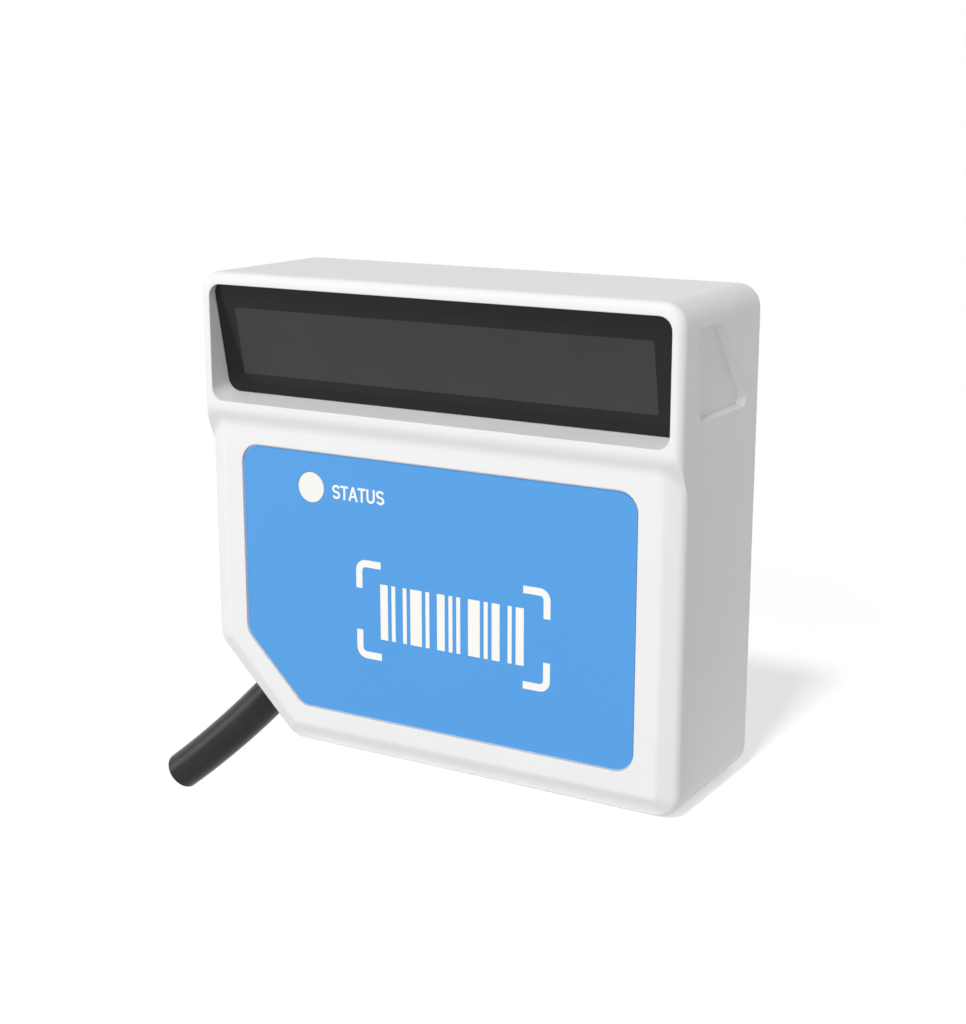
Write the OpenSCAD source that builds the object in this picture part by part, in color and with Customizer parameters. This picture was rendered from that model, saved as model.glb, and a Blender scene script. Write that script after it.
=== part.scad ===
// Fixed barcode reader: white moulded housing with a tilted scan window, a blue front label,
// a status light and a round cable that leaves the cut corner.
// X runs to the right seen from the front, Y from front to back, Z up.
// The pieces are drawn with Y = 0 on the head's front plane and Z = 0 on the underside, and in_frame()
// then moves the whole to the centre of the rear mounting pattern.

/* [Housing] */
// Overall width
body_w = 65.4; // [60:0.1:72]
// Overall height
body_h = 59.15; // [56:0.05:66]
// Overall depth
body_d = 21.3; // [21:0.1:26]
// Thickness of the side, top and bottom walls
wall = 2.4; // [2.2:0.1:2.8]
// Thickness of the front panel
front_wall = 2; // [1.6:0.1:2.3]
// Outline radius of the two upper corners
top_corner_r = 2.7; // [1.5:0.1:4]
// Outline radius of the lower right corner
low_corner_r = 2.9; // [1.5:0.1:4]
// Leg of the cut corner that the cable leaves
cut_corner = 11.5; // [10.5:0.1:13]
// Outline radius at both ends of the cut corner
cut_corner_r = 3.2; // [1:0.1:4]
// Height of the proud head, from the top down to its lower edge
head_h = 17.3; // [16.5:0.05:18.5]
// Radius of the head's front edge
head_edge_r = 1; // [0.7:0.05:1.3]
// Slope of the ramp under the head, from the vertical
ramp_angle = 26; // [20:1:35]
// Step back from the head to the lower panel
panel_step = 0.6; // [0.45:0.05:1]
// Width of the bevel round the lower panel
bevel_in = 2.4; // [2:0.05:3]
// Depth of the bevel round the lower panel
bevel_depth = 1.05; // [0.7:0.05:1.4]
// Radius where the bevel turns into the side
bevel_side_r = 1.05; // [0.8:0.05:1.6]
// Radius of the rear edge
rear_edge_r = 0.4; // [0.2:0.05:0.6]

/* [Window] */
// Width of the rim at both sides of the window opening
rim_w = 1.4; // [1.3:0.05:1.8]
// Height of the rim over the window opening
brow_h = 1.55; // [1.3:0.05:1.8]
// Height of the rim under the window opening
sill_h = 1.25; // [0.9:0.05:1.6]
// Corner radius of the window opening
window_corner_r = 1.6; // [1:0.1:2.4]
// Tilt of the window, its top edge forward
window_tilt = 11; // [8:0.1:14]
// Depth of the window's middle behind the head's front plane
window_set = 2.2; // [2.1:0.05:3]
// Thickness of the window plate
window_t = 1.5; // [1:0.1:1.8]
// Gap round the window plate
window_gap = 0.08; // [0.05:0.01:0.15]
// Width of the dark mask at the sides
mask_side = 2.8; // [2.2:0.1:3.4]
// Width of the dark mask at the bottom
mask_low = 2.55; // [2.2:0.05:3]
// Width of the dark mask at the top
mask_top = 3.15; // [2.6:0.05:3.6]
// Thickness of the mask
mask_t = 0.2; // [0.15:0.05:0.3]
// Thickness of the adhesive gasket behind the mask
pad_t = 0.6; // [0.4:0.1:1]
// Least thickness of the ledge that carries the window
ledge_t = 1.4; // [1.2:0.1:2]

/* [Side pockets] */
// Depth of the pocket in each side of the head
pocket_depth = 0.8; // [0.4:0.05:1]
// Width of the sloping wall round the pocket's floor
pocket_slope = 0.4; // [0.2:0.05:1]
// Height of the pocket
pocket_h = 10.4; // [8:0.1:11]
// Distance from the top of the housing to the pocket
pocket_drop = 3.25; // [2.6:0.05:4]
// Distance from the head's front plane to the pocket
pocket_front = 3.6; // [3:0.1:5]
// Width of the pocket along its upper edge
pocket_top_w = 6.6; // [5:0.1:8]
// Width of the pocket along its lower edge
pocket_low_w = 13.9; // [11:0.1:14.5]
// Lean of the pocket's front edge
pocket_lean = 1.3; // [0:0.1:2]
// Corner radius of the pocket
pocket_r = 1; // [0.5:0.1:1.5]

/* [Label] */
// Distance from the label to each side of the housing
label_side = 5.25; // [4:0.05:7]
// Distance from the label to the underside
label_foot = 4.9; // [4:0.1:7]
// Distance from the label to the cut corner
label_cut = 5.05; // [4:0.05:7]
// Distance from the label to the foot of the ramp
label_top = 2.65; // [2:0.05:5]
// Corner radius of the label
label_r = 2.5; // [1:0.1:3]
// Thickness of the label
label_t = 0.2; // [0.15:0.01:0.3]
// Depth of the label's face below the panel
label_sink = 0.18; // [0.02:0.01:0.25]
// Gap round the label
label_gap = 0.18; // [0.05:0.01:0.25]
// Diameter of the status light
status_d = 3.8; // [3:0.1:4.4]
// Distance from the label's left edge to the status light
status_in = 10.45; // [8:0.05:14]
// Distance from the label's top edge to the status light
status_down = 4.55; // [4:0.05:8]

/* [Rear] */
// Thickness of the rear cover
cover_t = 2; // [1.8:0.1:2.4]
// Width of the housing's rim round the rear cover
rear_rim = 1.3; // [1.1:0.05:1.5]
// Gap round the rear cover
cover_gap = 0.1; // [0.05:0.01:0.2]
// Thickness of the cover gasket
gasket_t = 0.6; // [0.4:0.1:0.8]
// Spacing of the mounting threads across
mount_pitch_x = 40; // [34:1:42]
// Spacing of the mounting threads in height
mount_pitch_z = 30; // [26:1:32]
// Height of the mounting pattern's middle above the underside
mount_z = 29.5; // [27:0.5:31]
// Outer diameter of a threaded insert
insert_d = 4.2; // [4:0.1:4.6]
// Length of a threaded insert
insert_len = 5; // [4:0.1:5.4]
// Core diameter of the thread in an insert
thread_d = 2.5; // [2.4:0.05:2.6]
// Wall round an insert
insert_wall = 1.4; // [1:0.1:1.6]

/* [Fasteners] */
// Diameter of the cover and board screws
screw_d = 2; // [1.8:0.1:2.2]
// Head diameter of those screws
screw_head_d = 3.6; // [3.2:0.1:4]
// Head height of those screws
screw_head_h = 1.1; // [0.9:0.05:1.2]
// Length of a cover screw under its head
cover_screw_len = 9; // [7:0.5:11]
// Length of a board screw under its head
board_screw_len = 3.2; // [2.8:0.1:3.4]
// Diameter of the scan engine's screws
small_screw_d = 1.4; // [1.2:0.1:1.6]
// Head diameter of the scan engine's screws
small_head_d = 2.4; // [2:0.1:2.6]
// Head height of the scan engine's screws
small_head_h = 0.8; // [0.6:0.05:1]
// Wall round a screw in its boss
boss_wall = 1.3; // [1.1:0.05:1.5]
// Radial play of what sits in a bore
fit_gap = 0.05; // [0.03:0.01:0.08]

/* [Board] */
// Thickness of the main board
board_t = 1.2; // [0.8:0.1:1.4]
// Height of the bosses that carry the main board
board_lift = 2.6; // [2.4:0.1:3]
// Gap round the main board
board_gap = 0.8; // [0.5:0.1:1.2]
// Distance from the board screws to the board's upper edge
board_screw_in = 3.5; // [3:0.1:5]
// Sideways distance of the upper board screws
board_screw_x = 24; // [22:0.5:25]
// Side of the decoder chip
decoder_w = 11; // [8:0.5:13]
// Diameter of the buzzer
buzzer_d = 9; // [7:0.5:10]
// Height of the buzzer
buzzer_h = 3.5; // [2.5:0.1:4.5]

/* [Cable] */
// Outer diameter of the cable
cable_d = 5.2; // [4.5:0.1:5.5]
// Depth of the cable's axis behind the head's front plane
cable_y = 10.65; // [10:0.05:12]
// How far the free cable starts inside the grommet
cable_seat = 3.3; // [2:0.1:3.5]
// Wall of the grommet's sleeve
grommet_wall = 0.9; // [0.7:0.1:1.2]
// Thickness of the grommet's inner flange
flange_t = 1.4; // [1:0.1:1.8]
// Width of the grommet's inner flange beyond the sleeve
flange_w = 0.7; // [0.5:0.1:1]
// Length of cable behind the cut corner's face
tail_len = 14; // [13:0.1:15]
// Diameter of one core
core_d = 1; // [0.8:0.1:1.1]

/* [Scan engine] */
// Height of the engine frame
engine_h = 11; // [10.4:0.1:11.2]
// Thickness of the engine frame
frame_t = 2; // [1.8:0.1:2.4]
// Thickness of the illumination board
light_board_t = 1; // [0.8:0.1:1.2]
// Side of an illumination LED
led_w = 2.8; // [2:0.1:3]
// Pitch of the illumination LEDs
led_pitch = 4.4; // [4:0.1:4.6]
// Diameter of an aimer lens
aimer_d = 3.4; // [3:0.1:3.6]
// Distance of the aimers from the optical axis
aimer_x = 6.6; // [6.4:0.1:7]
// Outer diameter of the lens barrel
barrel_d = 7; // [6:0.1:7.2]
// Length of the lens barrel
barrel_len = 6.2; // [5.6:0.1:6.4]
// Width of the lens holder
holder_w = 13; // [12.4:0.1:14]
// Depth of the lens holder
holder_len = 4.6; // [4:0.1:5]
// Thickness of the sensor board
sensor_board_t = 0.8; // [0.6:0.1:1]
// Width of the engine's flat flexible lead
flex_w = 7; // [5:0.5:7]

/* [Hidden] */
$fn = 48;

// Faces drawn on each rounded corner, and how far a cut runs past the solid
corner_steps = 6;
past = 1;
// Softness of the blend between the head, the ramp and the bevelled panel
blend = 0.3;
panel_blend = 0.15;
least_r = 0.05;

half_w = body_w / 2;
ramp_z = body_h - head_h;
ramp_foot_z = ramp_z - panel_step / tan(ramp_angle);
panel_in = panel_step + front_wall;

// Corners of the outline, counter-clockwise seen from the front, with their radii
outline = [[half_w, 0], [half_w, body_h], [-half_w, body_h], [-half_w, cut_corner],
    [cut_corner - half_w, 0]];
outline_r = [low_corner_r, top_corner_r, top_corner_r, cut_corner_r, cut_corner_r];

function unit(v) = v / norm(v);

// Points of the arc that rounds the corner q between p and s
function corner_arc(p, q, s, r) =
    let (
        u = unit(p - q),
        w = unit(s - q),
        half = acos(u * w) / 2,
        c = q + unit(u + w) * r / sin(half),
        a = (q + u * r / tan(half) - c) / r,
        e = (q + w * r / tan(half) - c) / r,
        sweep = acos(-u * w),
        step = sweep / corner_steps,
        b = (e - a * cos(sweep)) / sin(sweep)
    )
    [for (k = [0:corner_steps]) c + r * (a * cos(k * step) + b * sin(k * step))];

// Corners of a counter-clockwise outline moved inwards by d
function inset(pts, d) =
    let (n = len(pts))
    [for (i = [0:n - 1])
        let (
            e0 = unit(pts[i] - pts[(i + n - 1) % n]),
            e1 = unit(pts[(i + 1) % n] - pts[i]),
            n0 = [-e0[1], e0[0]],
            n1 = [-e1[1], e1[0]]
        )
        pts[i] + d * (n0 + n1) / (1 + n0 * n1)];

function rounded(pts, radii) =
    let (n = len(pts))
    [for (i = [0:n - 1]) each corner_arc(pts[(i + n - 1) % n], pts[i], pts[(i + 1) % n], radii[i])];

function inset_radii(d) = [for (r = outline_r) max(r - d, least_r)];
function outline_at(d) = rounded(inset(outline, d), inset_radii(d));

function soft_max(a, b, k) = max(a, b) + pow(max(k - abs(a - b), 0), 2) / (4 * k);
function soft_min(a, b, k) = -soft_max(-a, -b, k);

// Front surface: depth behind the head's plane as a function of the inset d and the height z
bevel_angle = atan(bevel_depth / bevel_in);
bevel_foot = panel_step + bevel_depth;
side_r_centre = bevel_foot + bevel_side_r * tan((90 - bevel_angle) / 2);
function head_depth(d) =
    d >= head_edge_r ? 0 : head_edge_r - sqrt(pow(head_edge_r, 2) - pow(head_edge_r - d, 2));
function bevel_at(d) =
    d >= bevel_side_r * (1 - sin(bevel_angle))
        ? bevel_foot - d * tan(bevel_angle)
        : side_r_centre - sqrt(pow(bevel_side_r, 2) - pow(bevel_side_r - d, 2));
function panel_depth(d) = soft_max(panel_step, bevel_at(d), panel_blend);
function ramp_depth(z) = (ramp_z - z) * tan(ramp_angle);
function front_depth(d, z) =
    soft_min(panel_depth(d), soft_max(head_depth(d), ramp_depth(z), blend), blend);

// Heights on both sides at which the skin has points, from under the ramp to above it
level_count = 16;
level_margin = 0.1;
level_top = ramp_z + blend / tan(ramp_angle) + level_margin;
level_low = ramp_z - (panel_depth(0) + blend) / tan(ramp_angle) - level_margin;
levels = [for (i = [0:level_count - 1]) level_low + (level_top - level_low) * i / (level_count - 1)];

// Insets of the skin's rings, from the flat field out to the side
edge_steps = 7;
rear_steps = 3;
panel_edge = [0.4, 0.25, 0.1, -0.1, -0.3];
ring_insets = concat(
    [for (k = panel_edge) bevel_in + k],
    [(bevel_in + head_edge_r) / 2],
    [for (k = [0:edge_steps]) head_edge_r * (1 - sin(90 * k / edge_steps))]
);

function skin_ring(d) =
    let (c = inset(outline, d), r = inset_radii(d))
    concat(
        corner_arc(c[4], c[0], c[1], r[0]),
        [for (z = levels) [half_w - d, z]],
        corner_arc(c[0], c[1], c[2], r[1]),
        corner_arc(c[1], c[2], c[3], r[2]),
        [for (i = [level_count - 1:-1:0]) [d - half_w, levels[i]]],
        corner_arc(c[2], c[3], c[4], r[3]),
        corner_arc(c[3], c[4], c[0], r[4])
    );

function reversed(list) = [for (i = [len(list) - 1:-1:0]) list[i]];

// The solid outer form of the housing, with its head, ramp, panel and soft edges
module skin() {
    front = [for (d = ring_insets) [for (p = skin_ring(d)) [p[0], front_depth(d, p[1]), p[1]]]];
    rear = [for (k = [0:rear_steps])
        let (a = 90 * k / rear_steps, y = body_d - rear_edge_r * (1 - sin(a)))
        [for (p = skin_ring(rear_edge_r * (1 - cos(a)))) [p[0], y, p[1]]]];
    rings = concat(front, rear);
    points = [for (r = rings) each r];
    n = len(rings[0]);
    m = len(rings) - 1;
    arc = corner_steps + 1;
    right = [for (i = [0:level_count - 1]) arc + i];
    left = [for (i = [0:level_count - 1]) 3 * arc + 2 * level_count - 1 - i];
    last = level_count - 1;
    lower_cap = concat([for (i = [0:arc]) i], [for (i = [left[0]:n - 1]) i]);
    upper_cap = [for (i = [right[last]:left[last]]) i];
    strips = [for (i = [0:last - 1]) [right[i], left[i], left[i + 1], right[i + 1]]];
    sides = [for (j = [0:m - 1]) for (i = [0:n - 1])
        [j * n + i, j * n + (i + 1) % n, (j + 1) * n + (i + 1) % n, (j + 1) * n + i]];
    back_cap = [[for (i = [0:n - 1]) m * n + i]];
    polyhedron(points, concat([reversed(lower_cap), reversed(upper_cap)], strips, sides, back_cap));
}

// Moves the bench drawing to the centre of the rear mounting pattern
module in_frame() {
    translate([0, -body_d, -mount_z])
    children();
}

// A flat shape in X and Z, extruded from depth y0 to depth y1
module slab(y0, y1) {
    translate([0, y1, 0])
    rotate([90, 0, 0])
    linear_extrude(y1 - y0)
    children();
}

// A round bar along Y
module rod(x, z, y0, y1, d) {
    translate([x, y0, z])
    rotate([-90, 0, 0])
    cylinder(d = d, h = y1 - y0);
}

// A block centred on x and z, from depth y0 to depth y1
module block(x, z, w, h, y0, y1) {
    translate([x - w / 2, y0, z - h / 2])
    cube([w, y1 - y0, h]);
}

// A rectangle with round corners, centred
module round_rect(w, h, r) {
    pts = [[w / 2, -h / 2], [w / 2, h / 2], [-w / 2, h / 2], [-w / 2, -h / 2]];
    polygon(rounded(pts, [r, r, r, r]));
}

// Window: a plane tilted about X, whose own Z points out of the window
open_low = ramp_z + sill_h;
open_high = body_h - brow_h;
recess_w = body_w - 2 * rim_w;
recess_h = (open_high - open_low) * cos(window_tilt);
window_z = (open_low + open_high) / 2 + window_set * tan(window_tilt);
stack_t = window_t + mask_t + pad_t;
clear_w = recess_w - 2 * mask_side;
clear_h = recess_h - mask_low - mask_top;
clear_shift = (mask_low - mask_top) / 2;
aperture_play = 0.6;
bulkhead_y = window_set + recess_h / 2 * sin(window_tilt) + stack_t * cos(window_tilt) + ledge_t;
shelf_z = open_low - wall;

module in_window() {
    translate([0, window_set, window_z])
    rotate([90 + window_tilt, 0, 0])
    children();
}

module window_field(play) {
    translate([0, clear_shift])
    square([clear_w + 2 * play, clear_h + 2 * play], center = true);
}

// Recess in front of and round the window, then the aperture through the ledge
module window_cut() {
    in_window()
    translate([0, 0, -stack_t])
    linear_extrude(stack_t + window_set + recess_h)
    round_rect(recess_w, recess_h, window_corner_r);
    translate([0, 0, window_z])
    slab(window_set, bulkhead_y + past)
    window_field(aperture_play);
}

module scan_window() {
    color("#3c3c3e")
    in_frame()
    in_window()
    translate([0, 0, -window_t])
    linear_extrude(window_t)
    round_rect(recess_w - 2 * window_gap, recess_h - 2 * window_gap, window_corner_r - window_gap);
}

// A frame behind the window, from one depth to another, open over the clear field
module window_frame(z0, z1, play) {
    in_frame()
    in_window()
    translate([0, 0, z0])
    linear_extrude(z1 - z0)
    difference() {
        round_rect(recess_w - 2 * window_gap, recess_h - 2 * window_gap, window_corner_r - window_gap);
        window_field(play);
    }
}

module window_mask() {
    color("#1c1c1d")
    window_frame(-window_t - mask_t, -window_t, 0);
}

module window_gasket() {
    color("#2a2a2a")
    window_frame(-stack_t, -window_t - mask_t, aperture_play);
}

// Label: follows the outline at its own distances, so its cut corner is parallel to the housing's
label_z1 = ramp_foot_z - label_top;
label_x = half_w - label_side;
label_face_y = panel_step + label_sink;
label_back_y = label_face_y + label_t;
// The label's cut runs along x + z = cut_sum
cut_sum = cut_corner - half_w + label_cut * sqrt(2);
label_pts = [[label_x, label_foot], [label_x, label_z1], [-label_x, label_z1],
    [-label_x, cut_sum + label_x], [cut_sum - label_foot, label_foot]];
label_radii = [for (p = label_pts) label_r];
status_x = status_in - label_x;
status_z = label_z1 - status_down;

module label_shape(d) {
    polygon(rounded(inset(label_pts, d), [for (r = label_radii) r - d]));
}

module status_bore() {
    rod(status_x, status_z, -past, panel_in + past, status_d + 2 * fit_gap);
}

module front_label() {
    color("#5ba3e8")
    in_frame()
    difference() {
        slab(label_face_y, label_back_y)
        label_shape(label_gap);
        status_bore();
    }
}

led_h = 0.9;
led_gap = 0.2;
board_y = panel_in + board_lift;
board_back = board_y + board_t;
pipe_flange_w = 1.1;
pipe_flange_t = 0.8;

module status_light_pipe() {
    color("#f4f5ef")
    in_frame()
    union() {
        rod(status_x, status_z, label_face_y, board_y - led_h - led_gap, status_d);
        rod(status_x, status_z, panel_in, panel_in + pipe_flange_t, status_d + 2 * pipe_flange_w);
    }
}

// Rear: the cover lies in the back of the housing on a gasket, held at four bosses
seat_y = body_d - cover_t - gasket_t;
cover_in = body_d - cover_t;
boss_d = screw_d + 2 * boss_wall;
boss_bite = 0.6;
boss_edge = wall + boss_d / 2 - boss_bite;
low_boss_rise = 5;
cover_points = [[half_w - boss_edge, body_h - boss_edge], [boss_edge - half_w, body_h - boss_edge],
    [half_w - boss_edge, boss_edge], [boss_edge - half_w, cut_corner + low_boss_rise]];
pilot_play = 0.6;
screw_bore_d = screw_d + 2 * fit_gap;
head_play = 0.3;
cover_pilot_y = body_d - screw_head_h - cover_screw_len - pilot_play;

mount_points = [for (sx = [-1, 1], sz = [-1, 1])
    [sx * mount_pitch_x / 2, mount_z + sz * mount_pitch_z / 2]];
insert_bore_d = insert_d + 2 * fit_gap;
insert_boss_d = insert_d + 2 * insert_wall;
insert_floor = 0.8;

module rear_cover() {
    color("#f1f1f1")
    in_frame()
    difference() {
        union() {
            slab(cover_in, body_d)
            polygon(outline_at(rear_rim + cover_gap));
            for (p = mount_points)
                rod(p[0], p[1], body_d - insert_len - insert_floor, cover_in + past / 2, insert_boss_d);
        }
        for (p = mount_points)
            rod(p[0], p[1], body_d - insert_len, body_d + past, insert_bore_d);
        for (p = cover_points) {
            rod(p[0], p[1], cover_in - past, body_d + past, screw_bore_d);
            rod(p[0], p[1], body_d - screw_head_h, body_d + past, screw_head_d + 2 * head_play);
        }
    }
}

module cover_gasket() {
    color("#303030")
    in_frame()
    difference() {
        slab(seat_y, cover_in)
        difference() {
            union() {
                difference() {
                    polygon(outline_at(rear_rim + cover_gap));
                    polygon(outline_at(wall));
                }
                intersection() {
                    polygon(outline_at(rear_rim + cover_gap));
                    for (p = cover_points)
                        translate(p)
                        circle(d = boss_d);
                }
            }
            for (p = cover_points)
                translate(p)
                circle(d = screw_bore_d);
        }
    }
}

// Pan-head screw along Y, its head's underside at depth y, pointing to the front, with a cross slot
module pan_screw(x, z, y, d, len, head_d, head_h) {
    slot_w = head_d / 6;
    slot_l = head_d * 0.6;
    difference() {
        union() {
            rod(x, z, y - len, y + head_h / 2, d);
            rod(x, z, y, y + head_h, head_d);
        }
        block(x, z, slot_l, slot_w, y + head_h / 2, y + head_h + past);
        block(x, z, slot_w, slot_l, y + head_h / 2, y + head_h + past);
    }
}

module cover_screws() {
    color("#b9bcc0")
    in_frame()
    for (p = cover_points)
        pan_screw(p[0], p[1], body_d - screw_head_h, screw_d, cover_screw_len, screw_head_d, screw_head_h);
}

module mounting_inserts() {
    color("#c9a44c")
    in_frame()
    for (p = mount_points)
        difference() {
            rod(p[0], p[1], body_d - insert_len, body_d, insert_d);
            rod(p[0], p[1], body_d - insert_len - past, body_d + past, thread_d);
        }
}

// Cable: leaves the middle of the cut corner at right angles to its face
exit_x = cut_corner / 2 - half_w;
exit_z = cut_corner / 2;
exit_angle = 225;
flange_d = cable_d + 2 * (grommet_wall + flange_w);
sleeve_d = cable_d + 2 * grommet_wall;

// Own Z points out of the cut corner along the cable
module on_cable() {
    translate([exit_x, cable_y, exit_z])
    rotate([0, exit_angle, 0])
    children();
}

module cable_bore(d) {
    on_cable()
    translate([0, 0, -wall - past])
    cylinder(d = d, h = wall + 2 * past);
}

module cable_grommet() {
    color("#262626")
    in_frame()
    on_cable()
    difference() {
        union() {
            translate([0, 0, -wall - flange_t])
            cylinder(d = sleeve_d, h = wall + flange_t);
            translate([0, 0, -wall - flange_t])
            cylinder(d = flange_d, h = flange_t);
        }
        translate([0, 0, -wall - flange_t - past])
        cylinder(d = cable_d + 2 * fit_gap, h = wall + flange_t + 2 * past);
    }
}

module cable_tail() {
    color("#303030")
    in_frame()
    on_cable()
    translate([0, 0, -tail_len])
    cylinder(d = cable_d, h = tail_len - cable_seat);
}

tie_w = 2.4;
tie_t = 0.9;
tie_head = 3.4;

module cable_tie() {
    color("#e6e6e0")
    in_frame()
    on_cable()
    translate([0, 0, -wall - flange_t - tie_w])
    difference() {
        union() {
            cylinder(d = cable_d + 2 * (fit_gap + tie_t), h = tie_w);
            translate([-tie_head / 2, 0, 0])
            cube([tie_head, cable_d / 2 + fit_gap + tie_head, tie_w]);
        }
        translate([0, 0, -past])
        cylinder(d = cable_d + 2 * fit_gap, h = tie_w + 2 * past);
    }
}

// Free stretch of the cable: distance along the exit axis and the rise off that axis
route = [[0, 0], [3, 0], [6, 0], [8, 0], [10, 0], [12, 0.02], [14, 0.05], [16, 0.11], [18, 0.19], [20, 0.3],
    [22, 0.42], [24, 0.57], [26, 0.74], [28, 0.93], [30, 1.15], [31.3, 1.3]];
cable_sides = 12;
axis_out = [-sqrt(0.5), 0, -sqrt(0.5)];
axis_up = [-sqrt(0.5), 0, sqrt(0.5)];
route_start = [exit_x, cable_y, exit_z] - cable_seat * axis_out;
route_pts = [for (p = route) route_start + p[0] * axis_out + p[1] * axis_up];

function path_dir(pts, i) = unit(pts[min(i + 1, len(pts) - 1)] - pts[max(i - 1, 0)]);

// A round tube swept along a path, closed at both ends
module tube_along(pts, d, sides, first_dir, last_dir) {
    n = len(pts);
    rings = [for (i = [0:n - 1])
        let (
            t = i == 0 ? first_dir : i == n - 1 ? last_dir : path_dir(pts, i),
            a = unit(cross([0, 1, 0], t)),
            b = cross(t, a)
        )
        for (k = [0:sides - 1]) pts[i] + d / 2 * (a * cos(360 * k / sides) + b * sin(360 * k / sides))];
    walls = [for (i = [0:n - 2]) for (k = [0:sides - 1])
        [i * sides + k, (i + 1) * sides + k, (i + 1) * sides + (k + 1) % sides, i * sides + (k + 1) % sides]];
    start_cap = [[for (k = [0:sides - 1]) k]];
    end_cap = [[for (k = [sides - 1:-1:0]) (n - 1) * sides + k]];
    polyhedron(rings, concat(start_cap, walls, end_cap));
}

module cable() {
    color("#2f2f30")
    in_frame()
    tube_along(route_pts, cable_d, cable_sides, axis_out, path_dir(route_pts, len(route_pts) - 1));
}

// Main board behind the front panel, on four bosses, cut back from the grommet
board_z1 = shelf_z - board_gap;
board_low_z = wall + board_gap + boss_d;
board_low_x = [-10, 20];
board_points = [[board_screw_x, board_z1 - board_screw_in], [-board_screw_x, board_z1 - board_screw_in],
    [board_low_x[0], board_low_z], [board_low_x[1], board_low_z]];
board_hole_d = screw_d + 2 * fit_gap;

module main_board() {
    color("#1d5b3a")
    in_frame()
    difference() {
        slab(board_y, board_back)
        intersection() {
            polygon(outline_at(wall + board_gap));
            translate([-half_w, 0])
            square([body_w, board_z1]);
        }
        for (p = cover_points)
            rod(p[0], p[1], board_y - past, board_back + past, boss_d + 2 * board_gap);
        for (p = board_points)
            rod(p[0], p[1], board_y - past, board_back + past, board_hole_d);
        on_cable()
        translate([-body_w / 2, -body_d, -wall - flange_t - board_gap])
        cube([body_w, 2 * body_d, body_w]);
    }
}

module board_screws() {
    color("#b9bcc0")
    in_frame()
    for (p = board_points)
        pan_screw(p[0], p[1], board_back, screw_d, board_screw_len, screw_head_d, screw_head_h);
}

// A chip with a chamfered pin-one corner, on the back of the main board
module chip(x, z, w, h, t, cut) {
    slab(board_back, board_back + t)
    translate([x, z])
    polygon([[w / 2, -h / 2], [w / 2, h / 2], [cut - w / 2, h / 2], [-w / 2, h / 2 - cut],
        [-w / 2, -h / 2]]);
}

passive_w = 1.6;
passive_d = 0.8;
passive_pitch = 3;
passive_count = 6;
passive_gap = 0.1;
count_margin = 0.01;
high_row_x = -7;
high_row_drop = 7;
high_row_z = board_z1 - high_row_drop;
// Chips stand in a column below the upper row of small parts
decoder_x = 9;
decoder_t = 1.3;
pin_one_cut = 0.8;
chip_gap = 2.5;
column_gap = 1;
memory_w = 8;
memory_h = 6;
memory_t = 1.1;
memory_z = high_row_z - passive_d / 2 - column_gap - memory_h / 2;
decoder_z = memory_z - memory_h / 2 - chip_gap - decoder_w / 2;
crystal_w = 3.2;
crystal_h = 2.5;
crystal_t = 0.8;
crystal_cut = 0.4;
inductor_w = 5;
inductor_base_t = 1.4;
inductor_cap_t = 0.8;
inductor_cap_d = 4;
inductor_x = decoder_x - decoder_w / 2 - chip_gap - inductor_w / 2;
inductor_z = decoder_z - inductor_w;

module decoder_chip() {
    color("#222326")
    in_frame()
    chip(decoder_x, decoder_z, decoder_w, decoder_w, decoder_t, pin_one_cut);
}

module memory_chip() {
    color("#26272a")
    in_frame()
    chip(decoder_x, memory_z, memory_w, memory_h, memory_t, pin_one_cut);
}

module crystal() {
    color("#c4c6c8")
    in_frame()
    chip(decoder_x + decoder_w / 2 + chip_gap + crystal_w / 2, decoder_z, crystal_w, crystal_h, crystal_t,
        crystal_cut);
}

module power_inductor() {
    color("#3b3b3d")
    in_frame()
    union() {
        chip(inductor_x, inductor_z, inductor_w, inductor_w, inductor_base_t, pin_one_cut);
        rod(inductor_x, inductor_z, board_back, board_back + inductor_base_t + inductor_cap_t,
            inductor_cap_d);
    }
}

// Lower row of small parts: as many as fit beside the screw's head
low_row_in = 6.3;
low_row_x = decoder_x - low_row_in;
low_row_z = decoder_z - decoder_w / 2 - chip_gap;
low_row_end = board_low_x[1] - screw_head_d / 2 - passive_gap - passive_d / 2;
low_row_fit = floor((low_row_end - low_row_x) / passive_pitch + count_margin) + 1;

module board_passives() {
    color("#b59f7d")
    in_frame() {
        for (i = [0:min(passive_count, low_row_fit) - 1])
            block(low_row_x + i * passive_pitch, low_row_z, passive_d, passive_w,
                board_back, board_back + passive_d);
        for (i = [0:passive_count - 1])
            block(high_row_x + i * passive_pitch, high_row_z, passive_w, passive_d,
                board_back, board_back + passive_d);
    }
}

buzzer_x = 21;
buzzer_hole_d = 1.6;
buzzer_drop = 11;
buzzer_z = board_z1 - buzzer_drop;

module buzzer() {
    color("#1f1f21")
    in_frame()
    difference() {
        rod(buzzer_x, buzzer_z, board_back, board_back + buzzer_h, buzzer_d);
        rod(buzzer_x, buzzer_z, board_back + buzzer_h / 2, board_back + buzzer_h + past, buzzer_hole_d);
    }
}

module status_led() {
    color("#f2efe2")
    in_frame()
    block(status_x, status_z, led_w, led_w, board_y - led_h, board_y);
}

// Plug and header: the header stands below the upper row, and the plug enters it from below
header_x = -8.5;
header_w = 11;
header_h = 5;
header_t = 4.6;
header_gap = 1.5;
header_z = high_row_z - passive_d / 2 - header_gap - header_h;
plug_play = 0.1;
plug_nose_w = 9;
plug_nose_h = 3.6;
plug_nose_t = 3;
plug_body_w = 10;
plug_body_h = 3.4;
plug_y = board_back + header_t / 2;

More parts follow.
